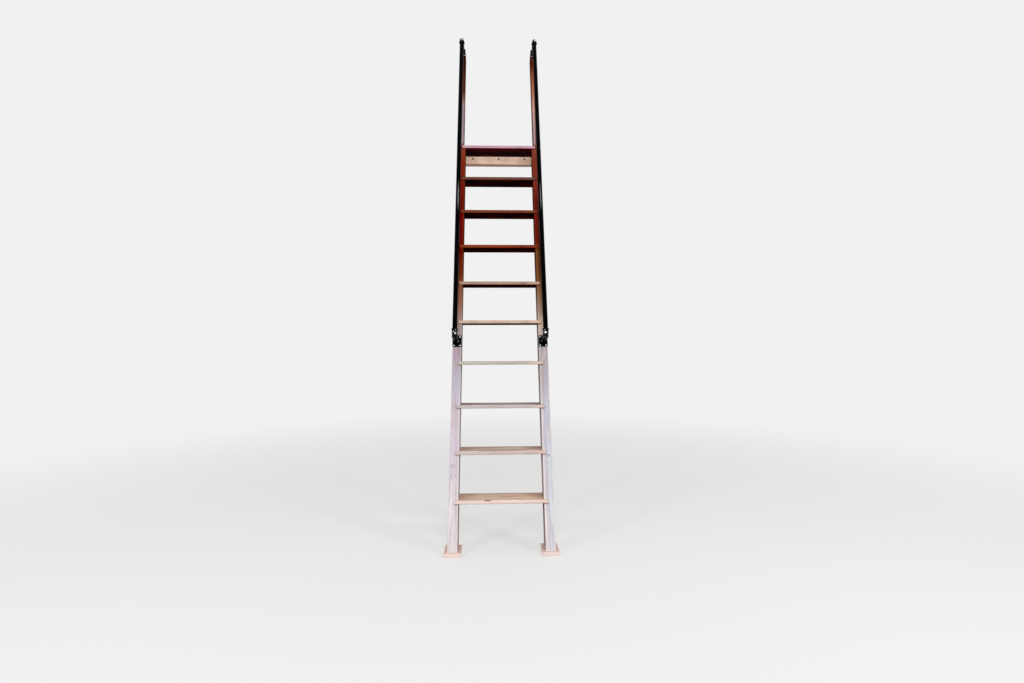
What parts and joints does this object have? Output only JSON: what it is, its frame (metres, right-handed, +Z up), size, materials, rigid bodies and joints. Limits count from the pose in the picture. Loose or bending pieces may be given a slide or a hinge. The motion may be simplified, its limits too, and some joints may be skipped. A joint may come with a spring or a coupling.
{
  "type": "loft ladder stair",
  "caption": "Steep open ladder stair from a stilt house: housed treads, grab posts, pipe rails on flanges, foot pads and a fixing batten.",
  "frame": {"origin": "middle of the fixing batten's back face, which is screwed to the loft's edge", "axes": "+X to the climber's right, +Y towards the loft, +Z up; the floor is at Z = -2.709 m"},
  "size_m": [0.681, 1.4776, 3.7607],
  "materials": {
    "varnished_timber": "hardwood, deep red-brown varnish above, worn and faded to pale pinkish grey lower down",
    "pad_timber": "bare pinkish hardwood, smooth sawn",
    "pine_batten": "bare light softwood, sawn",
    "black_pipe": "black enamelled steel pipe, half gloss",
    "black_fittings": "black enamelled cast fittings, slightly rough"
  },
  "bodies": {
    "root": {"left_stringer": "varnished_timber", "right_stringer": "varnished_timber", "tread_01": "varnished_timber", "tread_02": "varnished_timber", "tread_03": "varnished_timber", "tread_04": "varnished_timber", "tread_05": "varnished_timber", "tread_06": "varnished_timber", "tread_07": "varnished_timber", "tread_08": "varnished_timber", "tread_09": "varnished_timber", "tread_10": "varnished_timber", "left_foot_pad": "pad_timber", "right_foot_pad": "pad_timber", "fixing_batten": "pine_batten", "left_rail": "black_pipe", "right_rail": "black_pipe", "left_lower_elbow": "black_fittings", "right_lower_elbow": "black_fittings", "left_upper_elbow": "black_fittings", "right_upper_elbow": "black_fittings", "left_lower_nipple": "black_pipe", "right_lower_nipple": "black_pipe", "left_upper_nipple": "black_pipe", "right_upper_nipple": "black_pipe", "left_lower_flange": "black_fittings", "right_lower_flange": "black_fittings", "left_upper_flange": "black_fittings", "right_upper_flange": "black_fittings"}
  },
  "joints": []
}
